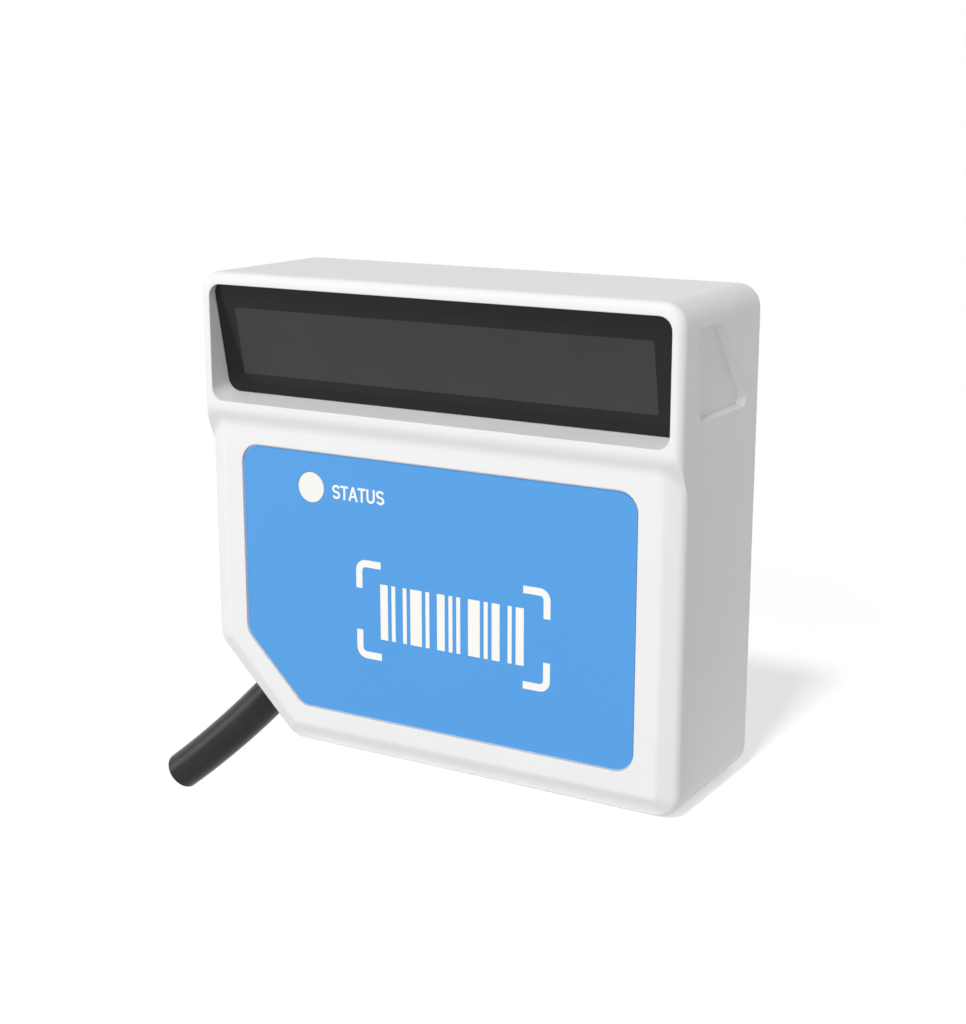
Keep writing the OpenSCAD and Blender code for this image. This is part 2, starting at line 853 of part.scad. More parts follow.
module cable_header() {
    color("#efe9da")
    in_frame()
    difference() {
        block(header_x, header_z + header_h / 2, header_w, header_h, board_back, board_back + header_t);
        block(header_x, header_z + plug_nose_h / 2 - past / 2, plug_nose_w + 2 * plug_play,
            plug_nose_h + 2 * plug_play + past, plug_y - plug_nose_t / 2 - plug_play,
            plug_y + plug_nose_t / 2 + plug_play);
    }
}

module cable_plug() {
    color("#f3efe4")
    in_frame()
    union() {
        block(header_x, header_z + plug_nose_h / 2 - past / 2, plug_nose_w, plug_nose_h + past,
            plug_y - plug_nose_t / 2, plug_y + plug_nose_t / 2);
        block(header_x, header_z - plug_body_h / 2, plug_body_w, plug_body_h,
            plug_y - plug_nose_t / 2, plug_y + plug_nose_t / 2);
    }
}

// Cores: from the tail's cut end, in a square of four, to the plug's underside
core_pitch = 2;
core_spread = 0.85;
core_reach = 3;
core_rings = 10;
core_sides = 8;
tail_end = [exit_x, cable_y, exit_z] - tail_len * axis_out;

function bezier(p0, p1, p2, p3, t) =
    pow(1 - t, 3) * p0 + 3 * t * pow(1 - t, 2) * p1 + 3 * t * t * (1 - t) * p2 + t * t * t * p3;

module cable_cores() {
    core_ends = [[-1, 1], [1, 1], [-1, -1], [1, -1]];
    last = len(core_ends) - 1;
    color("#b03a2e")
    in_frame()
    for (i = [0:last]) {
        start = tail_end + core_spread * (core_ends[i][0] * [0, 1, 0] + core_ends[i][1] * axis_up);
        end = [header_x + (i - last / 2) * core_pitch, plug_y, header_z - plug_body_h];
        pts = [for (k = [0:core_rings])
            bezier(start, start - core_reach * axis_out, end - [0, 0, core_reach], end, k / core_rings)];
        tube_along(pts, core_d, core_sides, -axis_out, [0, 0, 1]);
    }
}

// Scan engine: seats on the window's ledge and looks straight ahead through the window
engine_z = window_z;
engine_w = 2 * (half_w - boss_edge - boss_d / 2 - board_gap);
engine_gap = 0.3;
frame_back = bulkhead_y + frame_t;
light_back = frame_back + light_board_t;
holder_back = light_back + holder_len;
sensor_back = holder_back + sensor_board_t;
led_t = 1.2;
led_play = 0.4;
led_window = led_w + 2 * led_play;
led_land = 1;
first_led_x = aimer_x + aimer_d / 2 + led_w / 2 + led_land;
led_xs = [for (s = [-1, 1], i = [0:2]) s * (first_led_x + i * led_pitch)];
ear_in = 6;
ear_land = 1.2;
ear_x = engine_w / 2 - ear_in;
ear_w = small_head_d + 2 * ear_land;
ear_z = shelf_z + small_screw_d / 2 + ear_land;
engine_screw_len = 5;
small_bore_d = small_screw_d + 2 * fit_gap;
small_pilot_play = 0.2;
sensor_points = [[-4.9, 4], [4.9, -4]];
sensor_screw_len = sensor_board_t + holder_len + light_board_t + frame_t - 2 * small_pilot_play;
barrel_hold = 2.8;
barrel_front = light_back + barrel_hold - barrel_len;
lens_play = 0.2;

module engine_frame() {
    color("#2c2d30")
    in_frame()
    difference() {
        union() {
            block(0, engine_z, engine_w, engine_h, bulkhead_y, frame_back);
            for (s = [-1, 1])
                translate([s * ear_x - ear_w / 2, bulkhead_y, ear_z - ear_w / 2])
                cube([ear_w, frame_t, engine_z - ear_z]);
        }
        rod(0, engine_z, bulkhead_y - past, frame_back + past, barrel_d + 2 * lens_play);
        for (s = [-1, 1]) {
            rod(s * aimer_x, engine_z, bulkhead_y - past, frame_back + past, aimer_d + 2 * fit_gap);
            rod(s * ear_x, ear_z, bulkhead_y - past, frame_back + past, small_bore_d);
        }
        for (x = led_xs)
            block(x, engine_z, led_window, led_window, bulkhead_y - past, frame_back + past);
        for (p = sensor_points)
            rod(p[0], engine_z + p[1], bulkhead_y + small_pilot_play, frame_back + past, small_bore_d);
    }
}

module engine_screws() {
    color("#b9bcc0")
    in_frame()
    for (s = [-1, 1])
        pan_screw(s * ear_x, ear_z, frame_back, small_screw_d, engine_screw_len, small_head_d, small_head_h);
}

module illumination_board() {
    color("#20553a")
    in_frame()
    difference() {
        block(0, engine_z, engine_w, engine_h, frame_back, light_back);
        rod(0, engine_z, frame_back - past, light_back + past, barrel_d + 2 * lens_play);
        for (p = sensor_points)
            rod(p[0], engine_z + p[1], frame_back - past, light_back + past, small_bore_d);
    }
}

module illumination_leds() {
    color("#f3ecc8")
    in_frame()
    for (x = led_xs)
        block(x, engine_z, led_w, led_w, frame_back - led_t, frame_back);
}

aimer_led_w = 1.6;
aimer_led_t = 0.6;

module aimer_leds() {
    color("#e9e4d4")
    in_frame()
    for (s = [-1, 1])
        block(s * aimer_x, engine_z, aimer_led_w, aimer_led_w, frame_back - aimer_led_t, frame_back);
}

lens_rim_t = 0.55;
lens_rise = 0.6;

// A flat-backed lens along Y, its dome to the front
module dome_lens(x, z, y0, d, rim_t, rise) {
    ball_r = (pow(d / 2, 2) + pow(rise, 2)) / (2 * rise);
    intersection() {
        rod(x, z, y0 - rim_t - rise, y0, d);
        translate([x, y0 - rim_t - rise + ball_r, z])
        sphere(r = ball_r, $fn = 120);
    }
}

module aimer_lenses() {
    color("#d8e4ea")
    in_frame()
    for (s = [-1, 1])
        dome_lens(s * aimer_x, engine_z, frame_back - aimer_led_t, aimer_d, lens_rim_t, lens_rise);
}

sensor_board_land = 1;
sensor_w = 6;
sensor_h = 5;
sensor_t = 1;
sensor_play = 0.5;

module lens_holder() {
    color("#2a2a2c")
    in_frame()
    difference() {
        block(0, engine_z, holder_w, engine_h, light_back, holder_back);
        rod(0, engine_z, light_back - past, holder_back - sensor_t, barrel_d + 2 * fit_gap);
        block(0, engine_z, sensor_w + 2 * sensor_play, sensor_h + 2 * sensor_play,
            holder_back - sensor_t - sensor_play, holder_back + past);
        for (p = sensor_points)
            rod(p[0], engine_z + p[1], light_back - past, holder_back + past, small_bore_d);
    }
}

barrel_wall = 0.8;
lens_seat = 0.6;
front_lens_d = barrel_d - 2 * barrel_wall;
front_lens_t = 1.3;

module lens_barrel() {
    color("#1b1b1d")
    in_frame()
    difference() {
        rod(0, engine_z, barrel_front, barrel_front + barrel_len, barrel_d);
        rod(0, engine_z, barrel_front - past, barrel_front + barrel_len + past, front_lens_d - 2 * lens_seat);
        rod(0, engine_z, barrel_front - past, barrel_front + front_lens_t, front_lens_d + 2 * fit_gap);
    }
}

module front_lens() {
    color("#9fb6c8")
    in_frame()
    dome_lens(0, engine_z, barrel_front + front_lens_t, front_lens_d, lens_rim_t, lens_rise);
}

module sensor_board() {
    color("#205a3c")
    in_frame()
    difference() {
        block(0, engine_z, holder_w + 2 * sensor_board_land, engine_h, holder_back, sensor_back);
        for (p = sensor_points)
            rod(p[0], engine_z + p[1], holder_back - past, sensor_back + past, small_bore_d);
    }
}

module image_sensor() {
    color("#3a3f55")
    in_frame()
    block(0, engine_z, sensor_w, sensor_h, holder_back - sensor_t, holder_back);
}

module sensor_screws() {
    color("#b9bcc0")
    in_frame()
    for (p = sensor_points)
        pan_screw(p[0], engine_z + p[1], sensor_back, small_screw_d, sensor_screw_len, small_head_d,
            small_head_h);
}

// Sockets at both ends of the flat flexible lead
socket_h = 2.2;
socket_t = 1;
flex_t = 0.2;
socket_land = 0.8;
sensor_socket_drop = 1;
board_socket_in = 3;
sensor_socket_z = engine_z - sensor_socket_drop;
board_socket_z = board_z1 - board_socket_in - socket_h / 2;

module sensor_socket() {
    color("#e9e3d2")
    in_frame()
    block(0, sensor_socket_z, flex_w + 2 * socket_land, socket_h, sensor_back, sensor_back + socket_t);
}

module board_socket() {
    color("#e9e3d2")
    in_frame()
    block(0, board_socket_z, flex_w + 2 * socket_land, socket_h, board_back, board_back + socket_t);
}

// The lead leaves the sensor socket downwards, turns to the front and enters the board socket from above
flex_bend_r = 1.4;
flex_over = 0.5;
flex_under = 1.2;
flex_path = [[sensor_back + socket_t / 2, sensor_socket_z - socket_h / 2],
    [sensor_back + socket_t / 2, shelf_z + flex_over],
    [board_back + socket_t / 2, shelf_z - flex_under],
    [board_back + socket_t / 2, board_socket_z + socket_h / 2]];

function flex_edge(side) = [
    flex_path[0] + [side * flex_t / 2, 0],
    each corner_arc(flex_path[0] + [side * flex_t / 2, 0], flex_path[1] + side * flex_t / 2 * [1, -1],
        flex_path[2] + side * flex_t / 2 * [1, -1], flex_bend_r + side * flex_t / 2),
    each corner_arc(flex_path[1] + side * flex_t / 2 * [1, -1], flex_path[2] + side * flex_t / 2 * [1, -1],
        flex_path[3] + [side * flex_t / 2, 0], flex_bend_r - side * flex_t / 2),
    flex_path[3] + [side * flex_t / 2, 0]
];

module engine_flex() {
    color("#c78b3c")
    in_frame()
    translate([-flex_w / 2, 0, 0])
    rotate([90, 0, 90])
    linear_extrude(flex_w)
    polygon(concat(flex_edge(1), reversed(flex_edge(-1))));
}

// Pocket in each side of the head: upright front edge, slanted rear edge, walls that slope to its floor
pocket_z1 = body_h - pocket_drop;
pocket_z0 = pocket_z1 - pocket_h;
pocket_pts = [[pocket_front + pocket_lean, pocket_z0], [pocket_front + pocket_lean + pocket_low_w, pocket_z0],
    [pocket_front + pocket_top_w, pocket_z1], [pocket_front, pocket_z1]];

module pocket_outline(d) {
    polygon(rounded(inset(pocket_pts, d), [for (p = pocket_pts) pocket_r]));
}

module side_pockets() {
    for (s = [0, 1])
        mirror([s, 0, 0])
        translate([half_w, 0, 0])
        rotate([90, 0, 90])
        hull() {
            linear_extrude(past)
            pocket_outline(0);
            translate([0, 0, -pocket_depth])
            linear_extrude(pocket_depth)
            pocket_outline(pocket_slope);
        }
}

// Room inside the housing: behind the lower panel, behind the window's ledge, the cover's seat and the engine
module housing_room() {
    slab(bulkhead_y, body_d + past)
    polygon(outline_at(wall));
    slab(panel_in, bulkhead_y + past)
    intersection() {
        polygon(outline_at(wall));
        translate([-half_w, 0])
        square([body_w, shelf_z]);
    }
    slab(seat_y, body_d + past)
    polygon(outline_at(rear_rim));
    block(0, engine_z, engine_w + 2 * engine_gap, engine_h + 2 * engine_gap, bulkhead_y, seat_y);
}

module housing_bosses() {
    intersection() {
        union() {
            for (p = cover_points)
                rod(p[0], p[1], panel_in - front_wall / 2, seat_y, boss_d);
            for (p = board_points)
                rod(p[0], p[1], panel_in - front_wall / 2, board_y, boss_d);
        }
        slab(0, body_d)
        polygon(outline_at(wall / 2));
    }
}

module front_housing() {
    color("#f7f7f7")
    in_frame()
    difference() {
        union() {
            difference() {
                skin();
                housing_room();
            }
            housing_bosses();
        }
        window_cut();
        side_pockets();
        slab(-past, label_back_y)
        label_shape(0);
        status_bore();
        cable_bore(sleeve_d + 2 * fit_gap);
        for (p = cover_points)
            rod(p[0], p[1], cover_pilot_y, body_d, screw_bore_d);
        for (p = board_points)
            rod(p[0], p[1], board_back - board_screw_len - small_pilot_play, board_back, screw_bore_d);
        for (s = [-1, 1])
            rod(s * ear_x, ear_z, frame_back - engine_screw_len - small_pilot_play, frame_back, small_bore_d);
    }
}

front_housing();
scan_window();
window_mask();
window_gasket();
front_label();
status_light_pipe();
rear_cover();
cover_gasket();
cover_screws();
mounting_inserts();
main_board();
board_screws();
decoder_chip();
memory_chip();
crystal();
power_inductor();
board_passives();
buzzer();
status_led();
cable_header();
cable_plug();
cable_cores();
cable_tail();
cable_tie();
cable_grommet();
cable();
engine_frame();
illumination_board();
illumination_leds();
aimer_leds();
aimer_lenses();
lens_holder();
lens_barrel();
front_lens();
sensor_board();
image_sensor();
sensor_screws();
engine_screws();
sensor_socket();
board_socket();
engine_flex();
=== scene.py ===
"""Looks of the fixed barcode reader: finishes, label print, cable, studio light and camera.

Everything is in metres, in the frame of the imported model: X to the right, Y to the back, Z up,
with the origin at the centre of the rear mounting threads.
"""

import math

import bmesh
import bpy
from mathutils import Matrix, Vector


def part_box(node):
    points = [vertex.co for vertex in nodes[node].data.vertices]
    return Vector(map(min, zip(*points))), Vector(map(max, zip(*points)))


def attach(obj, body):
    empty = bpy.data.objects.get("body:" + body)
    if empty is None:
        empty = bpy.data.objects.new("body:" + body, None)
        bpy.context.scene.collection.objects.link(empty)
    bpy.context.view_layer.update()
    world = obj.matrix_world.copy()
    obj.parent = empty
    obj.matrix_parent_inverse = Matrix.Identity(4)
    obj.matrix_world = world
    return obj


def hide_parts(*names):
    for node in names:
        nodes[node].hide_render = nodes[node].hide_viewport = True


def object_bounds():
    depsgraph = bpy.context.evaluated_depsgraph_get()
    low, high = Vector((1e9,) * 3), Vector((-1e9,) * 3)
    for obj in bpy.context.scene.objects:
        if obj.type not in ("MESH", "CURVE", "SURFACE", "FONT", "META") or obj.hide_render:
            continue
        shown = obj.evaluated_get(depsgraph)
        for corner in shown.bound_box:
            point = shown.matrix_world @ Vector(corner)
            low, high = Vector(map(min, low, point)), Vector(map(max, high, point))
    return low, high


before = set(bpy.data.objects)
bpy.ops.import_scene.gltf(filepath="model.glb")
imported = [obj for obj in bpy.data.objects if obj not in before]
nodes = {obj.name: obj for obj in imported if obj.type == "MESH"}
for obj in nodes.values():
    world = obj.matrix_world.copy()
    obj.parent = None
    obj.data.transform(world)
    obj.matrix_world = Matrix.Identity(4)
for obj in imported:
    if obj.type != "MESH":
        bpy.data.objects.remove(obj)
cad_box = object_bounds()

MM = 0.001

# Camera: the photograph's place, angle and focal length in its own pixels
PHOTO_W = 966
PHOTO_H = 1024
FOCAL_PX = 1799
SENSOR_MM = 36
CAMERA_AT = Vector((110.86, -194.75, 52.7)) * MM
CAMERA_TURN = math.radians(30.68)
CAMERA_DIP = math.radians(13.57)
CAMERA_NEAR = 10 * MM

# Studio light: turn and rise are in degrees, sizes in metres, and levels are shares of the light
# that shows a white surface as white
WORLD_LEVEL = 0.28
LAMPS = {
    "key_softbox": {"turn": 9, "rise": 57, "level": 0.38, "size": 0.11},
    "front_fill": {"turn": 0, "rise": 5, "level": 0.39, "size": 0.6},
    "left_fill": {"turn": -60, "rise": 5, "level": 0.28, "size": 0.5},
    "right_fill": {"turn": 50, "rise": 15, "level": 0.1, "size": 0.6},
    "back_softbox": {"turn": 140, "rise": 55, "level": 0.03, "size": 0.5},
    "back_fill": {"turn": 195, "rise": 3, "level": 0.32, "size": 0.5, "mirrored": False},
}
LAMP_DISTANCE = 1.0

# Table: its glow rises from FLOOR_GLOW to FLOOR_GLOW_FAR between the near and the far distance
FLOOR_COLOR = "#f0f0f0"
FLOOR_ROUGHNESS = 0.9
FLOOR_SPECULAR = 0.1
FLOOR_GLOW = 0.39
FLOOR_GLOW_FAR = 0.85
FLOOR_NEAR = 80 * MM
FLOOR_FAR = 400 * MM
FLOOR_REACH = 3.0
TABLE_THICK = 30 * MM
# The cable hangs past the left edge, and the front edge lies under the housing
TABLE_LEFT = -21 * MM
TABLE_FRONT = -20.6 * MM

# Textures: most of a noise lies between these two values
NOISE_LOW = 0.3
NOISE_HIGH = 0.7
NOISE_DETAIL = 2
# A wave of scale 1 repeats after this length
WAVE_PERIOD = math.pi / 10
# Numbers of the colour sockets on a mix node
MIX_COLORS = (6, 7)
MIX_RESULT = 2
# Tracks on the boards: the pattern's unit, and a track's width as a share of it
TRACK_UNIT = 3 * MM
TRACK_SHARE = 0.06

# Smooth shading of the faceted pieces
SMOOTH_ANGLE = math.radians(35)
WELD_DISTANCE = 0.001 * MM

# Window: the clear field inside the dark border, in the plane of the tilted plate
WINDOW_TILT = math.radians(11)
CLEAR_W = 57 * MM
CLEAR_H = 8.53 * MM
CLEAR_SHIFT = -0.3 * MM
CLEAR_R = 0.2 * MM
CLEAR_SOFT = 0.05 * MM

# Label print: how far the ink stands proud of the label's face and reaches into it
INK_PROUD = 0.012 * MM
INK_SUNK = 0.01 * MM

# The word beside the status light: each letter with the start and end of its place, in millimetres
WORD = (("S", 0, 1.18), ("T", 1.22, 2.36), ("A", 2.38, 3.76),
        ("T", 3.77, 4.91), ("U", 5.04, 6.24), ("S", 6.42, 7.62))
WORD_LEFT = -13.85 * MM
WORD_FOOT = 2.87 * MM
WORD_H = 1.76 * MM
WORD_STROKE = 0.29 * MM
GLYPH_STEPS = 10
# Letter S: angles, in degrees, at which its bowls end and join
S_TIP = 20
S_JOIN = 55
# Letter A: foot and bar as shares of the stroke, height of the bar as a share of the letter's
A_FOOT = 1.06
A_BAR = 0.85
A_BAR_AT = 0.24

# The mark in the middle of the label: a barcode in four corner brackets
MARK_X = 3 * MM
MARK_Z = -10.5 * MM
MARK_W = 27 * MM
MARK_H = 12.5 * MM
MARK_STROKE = 0.9 * MM
MARK_ARM = 3.6 * MM
MARK_R = 1.4 * MM
MARK_ARC_STEPS = 8
BARS_W = 20 * MM
BARS_H = 7 * MM
# Each bar's width and the gap after it, in modules
BARS = ((2, 1), (1, 2), (1, 1), (3, 1), (1, 2), (2, 1), (1, 1),
        (1, 2), (3, 1), (1, 1), (2, 2), (1, 1), (2, 0))

# Cable: it starts inside the grommet, a seat's depth behind the point where its axis leaves
# the housing
CABLE_D = 5.2 * MM
CABLE_FACE = Vector((-26.95, -10.65, -23.75)) * MM
CABLE_SEAT = 3.3 * MM
CABLE_OUT = Vector((-1, 0, -1)).normalized()
CABLE_UP = Vector((-1, 0, 1)).normalized()
# The part's own route, in millimetres along the exit axis and off it
CABLE_ROUTE = ((0, 0), (3, 0), (6, 0), (8, 0), (10, 0), (12, 0.02), (14, 0.05), (16, 0.11),
               (18, 0.19), (20, 0.3), (22, 0.42), (24, 0.57), (26, 0.74), (28, 0.93), (30, 1.15),
               (31.3, 1.3))
CABLE_ROUND = 12


def linear(code):
    """A colour written as #rrggbb, as the linear values that a shader takes."""
    values = [int(code[i:i + 2], 16) / 255 for i in (1, 3, 5)]
    return [v / 12.92 if v <= 0.04045 else ((v + 0.055) / 1.055) ** 2.4 for v in values]


class Finish:
    """A material made of one principled shader and the procedural layers added to it."""

    def __init__(self, name, color, roughness, **sockets):
        self.material = bpy.data.materials.new(name)
        self.material.use_nodes = True
        self.tree = self.material.node_tree
        self.shader = self.tree.nodes["Principled BSDF"]
        self.color = linear(color)
        self.set("Base Color", (*self.color, 1))
        self.set("Roughness", roughness)
        # A name such as specular_ior_level stands for the socket Specular IOR Level
        for socket, value in sockets.items():
            self.set(socket.replace("_", " ").title().replace("Ior", "IOR"), value)
        self.coords = self.add("ShaderNodeTexCoord").outputs["Object"]
        self.normal = None

    def set(self, socket, value):
        """A value that is the same all over the surface."""
        self.shader.inputs[socket].default_value = value

    def add(self, kind, **values):
        """A new node with those properties."""
        node = self.tree.nodes.new(kind)
        for key, value in values.items():
            setattr(node, key, value)
        return node

    def link(self, output, target):
        """Joins a node's output to an input."""
        self.tree.links.new(output, target)

    def calc(self, operation, a, b=None, c=None):
        """Result of a math node, from numbers or other nodes' outputs."""
        node = self.add("ShaderNodeMath", operation=operation)
        for socket, value in zip(node.inputs, (a, b, c)):
            if isinstance(value, bpy.types.NodeSocket):
                self.link(value, socket)
            elif value is not None:
                socket.default_value = value
        return node.outputs[0]

    def noise(self, size):
        """Noise whose lumps are about size metres across."""
        node = self.add("ShaderNodeTexNoise")
        node.inputs["Scale"].default_value = 1 / size
        node.inputs["Detail"].default_value = NOISE_DETAIL
        self.link(self.coords, node.inputs["Vector"])
        return node.outputs["Fac"]

    def between(self, factor, low, high):
        """A noise spread over the range from low to high."""
        node = self.add("ShaderNodeMapRange")
        node.inputs["From Min"].default_value = NOISE_LOW
        node.inputs["From Max"].default_value = NOISE_HIGH
        node.inputs["To Min"].default_value = low
        node.inputs["To Max"].default_value = high
        self.link(factor, node.inputs["Value"])
        return node.outputs["Result"]

    def blend(self, factor, first, second):
        """A mix of two colours, each a list of linear values or another node's output."""
        node = self.add("ShaderNodeMix", data_type="RGBA")
        self.link(factor, node.inputs["Factor"])
        for place, value in zip(MIX_COLORS, (first, second)):
            if isinstance(value, bpy.types.NodeSocket):
                self.link(value, node.inputs[place])
            else:
                node.inputs[place].default_value = (*value, 1)
        return node.outputs[MIX_RESULT]

    def paint(self, output):
        """Colour from a node instead of the plain one."""
        self.link(output, self.shader.inputs["Base Color"])
        return self

    def mottle(self, size, amount):
        """Slight change of tone over the surface."""
        dark = [v * (1 - amount) for v in self.color]
        pale = [min(v * (1 + amount), 1) for v in self.color]
        return self.paint(self.blend(self.between(self.noise(size), 0, 1), dark, pale))

    def polish(self, size, low, high):
        """Roughness that wanders between two values."""
        self.link(self.between(self.noise(size), low, high), self.shader.inputs["Roughness"])
        return self

    def soft_edges(self, radius, samples=6):
        """Edges that catch the light as if rounded to that radius."""
        node = self.add("ShaderNodeBevel", samples=samples)
        node.inputs["Radius"].default_value = radius
        self.normal = node.outputs["Normal"]
        self.link(self.normal, self.shader.inputs["Normal"])
        return self

    def grain(self, size, depth):
        """Fine relief of that grain size and depth."""
        return self.relief(self.noise(size), depth)

    def thread(self, pitch, depth):
        """Turns of a thread round a bore that runs front to back."""
        turns = self.add("ShaderNodeTexWave", bands_direction="Y")
        turns.inputs["Scale"].default_value = WAVE_PERIOD / pitch
        self.link(self.coords, turns.inputs["Vector"])
        return self.relief(turns.outputs["Fac"], depth)

    def relief(self, height, depth):
        """One more relief over those that the surface has."""
        bump = self.add("ShaderNodeBump")
        bump.inputs["Strength"].default_value = 1
        bump.inputs["Distance"].default_value = depth
        self.link(height, bump.inputs["Height"])
        if self.normal:
            self.link(self.normal, bump.inputs["Normal"])
        self.normal = bump.outputs["Normal"]
        self.link(self.normal, self.shader.inputs["Normal"])
        return self


def white_moulding():
    """Satin white housing plastic with a fine spark-eroded texture."""
    f = Finish("white_moulding", "#ededed", roughness=0.42, specular_ior_level=0.4)
    f.soft_edges(radius=0.2 * MM)
    f.grain(size=0.16 * MM, depth=0.0012 * MM)
    f.polish(size=1.5 * MM, low=0.4, high=0.46)
    return f.mottle(size=9 * MM, amount=0.006)


def window_plate():
    """Smoked plate: a black printed border round a slightly paler clear field."""
    f = Finish("window_plate", "#242424", roughness=0.1, specular_ior_level=0.15)
    low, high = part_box("scan_window")
    mapping = f.add("ShaderNodeMapping", vector_type="TEXTURE")
    mapping.inputs["Location"].default_value = (low + high) / 2
    mapping.inputs["Rotation"].default_value = (math.radians(90) + WINDOW_TILT, 0, 0)
    f.link(f.coords, mapping.inputs["Vector"])
    parts = f.add("ShaderNodeSeparateXYZ")
    f.link(mapping.outputs["Vector"], parts.inputs[0])
    # Distance to a rectangle with round corners, negative inside it
    across = f.calc("SUBTRACT", f.calc("ABSOLUTE", parts.outputs["X"]), CLEAR_W / 2 - CLEAR_R)
    raised = f.calc("SUBTRACT", parts.outputs["Y"], CLEAR_SHIFT)
    upright = f.calc("SUBTRACT", f.calc("ABSOLUTE", raised), CLEAR_H / 2 - CLEAR_R)
    outside_x = f.calc("MAXIMUM", across, 0)
    outside_y = f.calc("MAXIMUM", upright, 0)
    squared = f.calc("MULTIPLY_ADD", outside_x, outside_x, f.calc("POWER", outside_y, 2))
    corner = f.calc("SQRT", squared)
    inside = f.calc("MINIMUM", f.calc("MAXIMUM", across, upright), 0)
    distance = f.calc("SUBTRACT", f.calc("ADD", corner, inside), CLEAR_R)
    field = f.add("ShaderNodeMapRange", interpolation_type="SMOOTHSTEP")
    field.inputs["From Min"].default_value = CLEAR_SOFT
    field.inputs["From Max"].default_value = -CLEAR_SOFT
    f.link(distance, field.inputs["Value"])
    smoke = f.blend(f.between(f.noise(size=7 * MM), 0, 1), linear("#3c3c3c"), linear("#3e3e3e"))
    f.paint(f.blend(field.outputs["Result"], f.color, smoke))
    return f.polish(size=4 * MM, low=0.08, high=0.12)


def label_film():
    """Printed polyester label, velvet to the touch."""
    f = Finish("label_film", "#559fe3", roughness=0.4, specular_ior_level=0.25)
    f.grain(size=0.12 * MM, depth=0.0008 * MM)
    f.polish(size=2 * MM, low=0.38, high=0.46)
    return f.mottle(size=12 * MM, amount=0.004)


def light_pipe():
    """Milky light pipe of the status light."""
    f = Finish("light_pipe", "#f4f3ed", roughness=0.35, specular_ior_level=0.3)
    f.polish(size=1 * MM, low=0.32, high=0.38)
    return f.mottle(size=2 * MM, amount=0.003)


def ink():
    """White screen-printed ink."""
    f = Finish("print_ink", "#f8f7f1", roughness=0.5, specular_ior_level=0.3)
    f.grain(size=0.1 * MM, depth=0.001 * MM)
    return f.mottle(size=1.2 * MM, amount=0.01)


def cable_jacket():
    """Black cable jacket with a soft sheen."""
    f = Finish("cable_jacket", "#2e2e2f", roughness=0.28, specular_ior_level=0.12)
    f.grain(size=0.2 * MM, depth=0.003 * MM)
    f.polish(size=0.9 * MM, low=0.26, high=0.3)
    return f.mottle(size=2.5 * MM, amount=0.08)


def rubber():
    """Matt black rubber of the gaskets and the grommet."""
    f = Finish("black_rubber", "#1f1f20", roughness=0.65)
    f.grain(size=0.15 * MM, depth=0.004 * MM)
    return f.mottle(size=1 * MM, amount=0.1)


def black_mask():
    """Black ink on the back of the window's border."""
    f = Finish("mask_ink", "#161617", roughness=0.5)
    f.grain(size=0.1 * MM, depth=0.002 * MM)
    return f.mottle(size=1.5 * MM, amount=0.08)


def metal(name, color, low, high, grain_size, grain_depth):
    """Bare metal with a fine grain."""
    f = Finish(name, color, low, metallic=1)
    f.soft_edges(radius=0.06 * MM, samples=4)
    f.grain(grain_size, grain_depth)
    f.polish(size=0.5 * MM, low=low, high=high)
    return f.mottle(size=0.7 * MM, amount=0.05)


def steel():
    """Zinc-plated steel screws."""
    return metal("zinc_steel", "#b9bcc0", low=0.24, high=0.36,
                 grain_size=0.1 * MM, grain_depth=0.002 * MM)


def brass():
    """Brass inserts with an M3 thread in the bore."""
    f = metal("turned_brass", "#d3ab58", low=0.2, high=0.32,
              grain_size=0.12 * MM, grain_depth=0.003 * MM)
    return f.thread(pitch=0.5 * MM, depth=0.15 * MM)


def can_metal():
    """Drawn can of the crystal."""
    return metal("can_metal", "#c9cbcd", low=0.18, high=0.28,
                 grain_size=0.15 * MM, grain_depth=0.001 * MM)


def circuit_board():
    """Green solder mask over a pattern of copper tracks."""
    f = Finish("circuit_board", "#1c5a39", roughness=0.35, coat_weight=0.4)
    tracks = f.add("ShaderNodeTexBrick", offset=0.5)
    tracks.inputs["Scale"].default_value = 1 / TRACK_UNIT
    tracks.inputs["Mortar Size"].default_value = TRACK_SHARE
    f.link(f.coords, tracks.inputs["Vector"])
    f.paint(f.blend(tracks.outputs["Fac"], f.color, linear("#2c7a4c")))
    f.grain(size=0.3 * MM, depth=0.002 * MM)
    return f.polish(size=1 * MM, low=0.3, high=0.4)


def plastic(name, color, roughness, **sockets):
    """Moulded plastic for the small inner pieces."""
    f = Finish(name, color, roughness, **sockets)
    f.grain(size=0.12 * MM, depth=0.002 * MM)
    f.polish(size=0.8 * MM, low=roughness - 0.05, high=roughness + 0.08)
    return f.mottle(size=1.2 * MM, amount=0.03)


def lens_glass():
    """Clear glass of the lenses."""
    f = Finish("lens_glass", "#e8f0f4", roughness=0.02, transmission_weight=1, ior=1.52)
    return f.polish(size=0.8 * MM, low=0.01, high=0.04)


